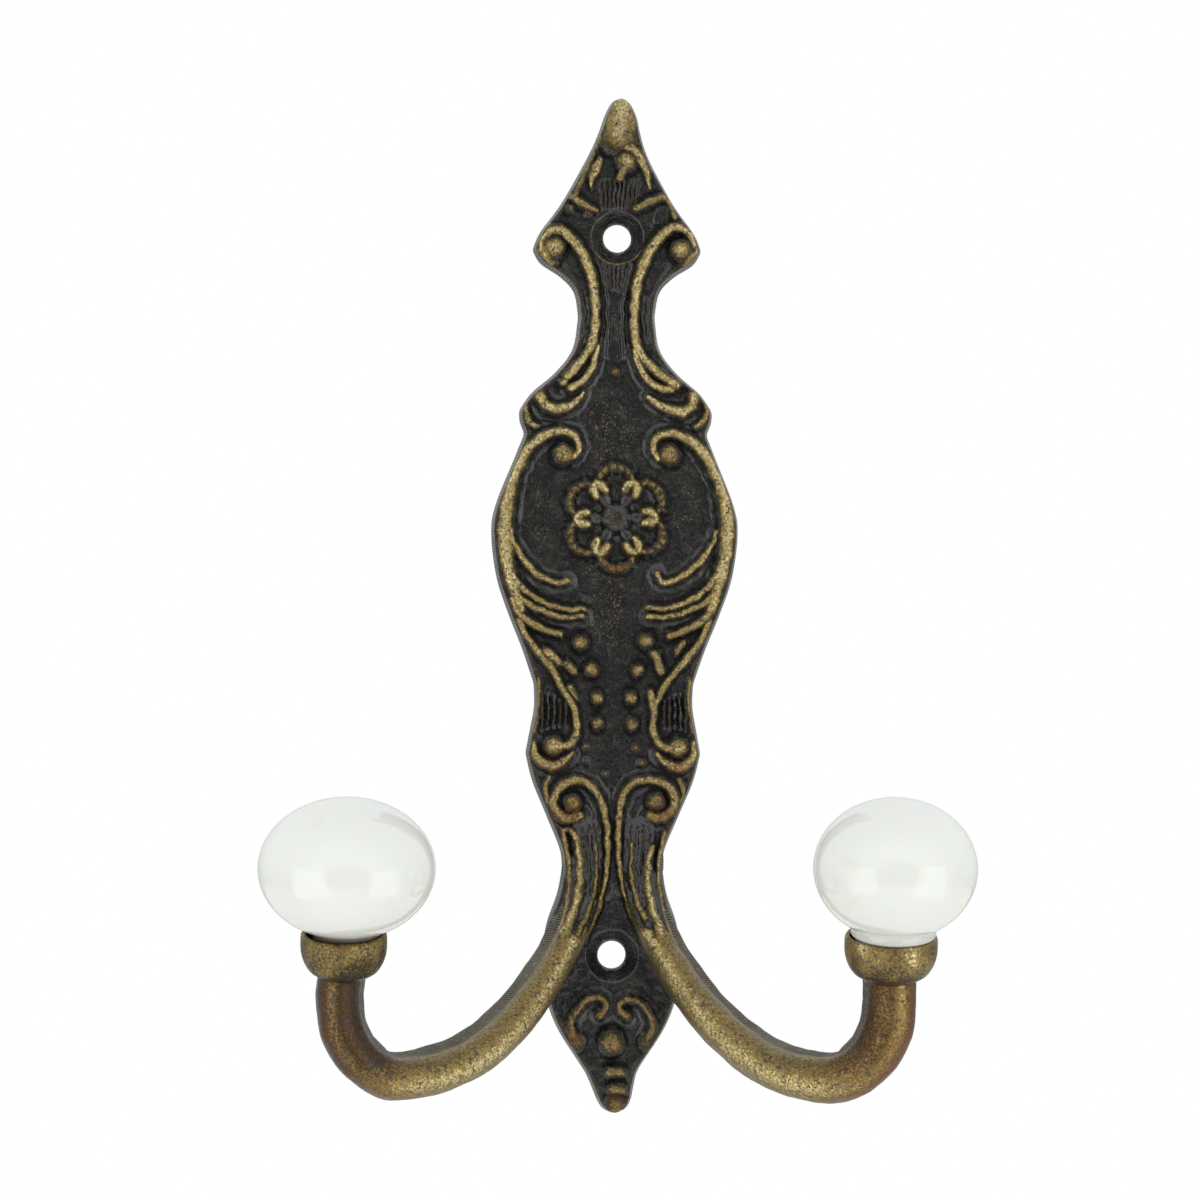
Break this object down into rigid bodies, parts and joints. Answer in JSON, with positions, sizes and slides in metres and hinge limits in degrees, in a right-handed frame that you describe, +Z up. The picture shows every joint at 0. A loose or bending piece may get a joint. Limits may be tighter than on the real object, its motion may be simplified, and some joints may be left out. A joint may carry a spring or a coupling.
{
  "type": "double coat hook",
  "caption": "Wall hook for coats and hats: an ornamental cast back plate with curved arms that end in cups, each holding a glazed ceramic knob.",
  "frame": {"origin": "on the wall face of the back plate, midway between the screw holes", "axes": "+Z up along the back plate, +Y into the wall, so the front of the hook faces -Y and +X is to the right as seen from the front"},
  "size_m": [0.1136, 0.0561, 0.17],
  "materials": {
    "antique_brass_casting": "brass plated, black lacquer rubbed back on the high places",
    "white_glazed_ceramic": "clear gloss glaze over a white body",
    "stud_steel": "plain threaded rod"
  },
  "bodies": {
    "root": {"hook_casting": "antique_brass_casting", "left_knob": "white_glazed_ceramic", "right_knob": "white_glazed_ceramic", "left_stud": "stud_steel", "right_stud": "stud_steel"}
  },
  "joints": []
}
